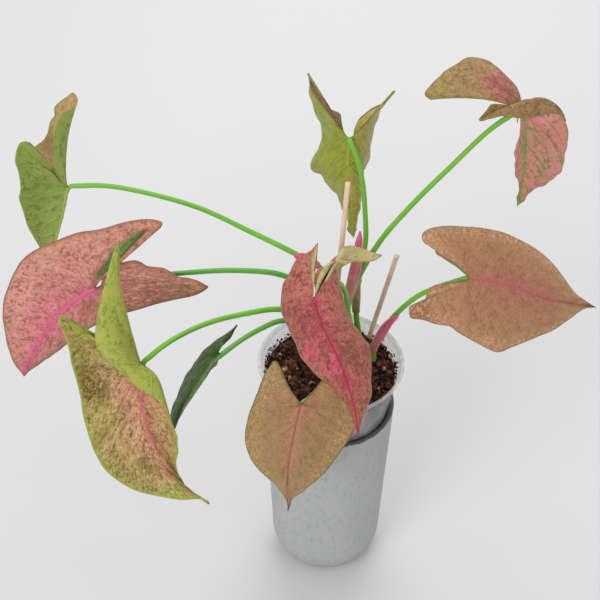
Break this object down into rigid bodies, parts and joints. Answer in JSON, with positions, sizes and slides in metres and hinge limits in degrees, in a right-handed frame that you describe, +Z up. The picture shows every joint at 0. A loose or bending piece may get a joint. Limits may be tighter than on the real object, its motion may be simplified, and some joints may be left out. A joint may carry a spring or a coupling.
{
  "type": "arrowhead plant",
  "caption": "Arrowhead plant with pink and green arrow-shaped leaves on long stalks, in a clear nursery cup hanging in the mouth of a grey stone vase, with wooden stakes.",
  "frame": {"origin": "middle of the vase's flat underside", "axes": "+Z up out of the vase; -Y is the side that the picture looks from, +X is to its right"},
  "size_m": [0.3817, 0.1999, 0.3659],
  "materials": {
    "vase_stone": "matt, finely mottled",
    "clear_plastic": "clear, glossy",
    "coir_mix": "moist, crumbly",
    "bare_wood": "bare, fine grain",
    "stem_skin": "satin",
    "stalk_skin": "satin",
    "spear_skin": "satin",
    "sheath_skin": "satin",
    "dry_sheath": "matt, papery",
    "leaf_right": "satin, softly veined",
    "leaf_front": "satin, softly veined",
    "leaf_centre": "satin, softly veined",
    "leaf_left_large": "satin, softly veined",
    "leaf_left_front": "satin, softly veined",
    "leaf_left_narrow": "satin, softly veined",
    "leaf_back_left": "satin, softly veined",
    "leaf_back": "satin, softly veined",
    "leaf_right_high": "satin, softly veined"
  },
  "bodies": {
    "root": {"vase": "vase_stone", "clear_cup": "clear_plastic", "potting_mix": "coir_mix", "stake_tall": "bare_wood", "stake_short": "bare_wood", "stem_left": "stem_skin", "stem_middle": "stem_skin", "stem_right": "stem_skin", "petiole_right": "stalk_skin", "petiole_front": "stalk_skin", "petiole_centre": "stalk_skin", "petiole_left_large": "stalk_skin", "petiole_left_front": "stalk_skin", "petiole_left_narrow": "stalk_skin", "petiole_back_left": "stalk_skin", "petiole_back": "stalk_skin", "petiole_right_high": "stalk_skin", "spear": "spear_skin", "sheath_right": "sheath_skin", "sheath_back_left": "sheath_skin", "sheath_right_high": "sheath_skin", "sheath_old": "dry_sheath", "blade_right": "leaf_right", "blade_front": "leaf_front", "blade_centre": "leaf_centre", "blade_left_large": "leaf_left_large", "blade_left_front": "leaf_left_front", "blade_left_narrow": "leaf_left_narrow", "blade_back_left": "leaf_back_left", "blade_back": "leaf_back", "blade_right_high": "leaf_right_high"}
  },
  "joints": []
}
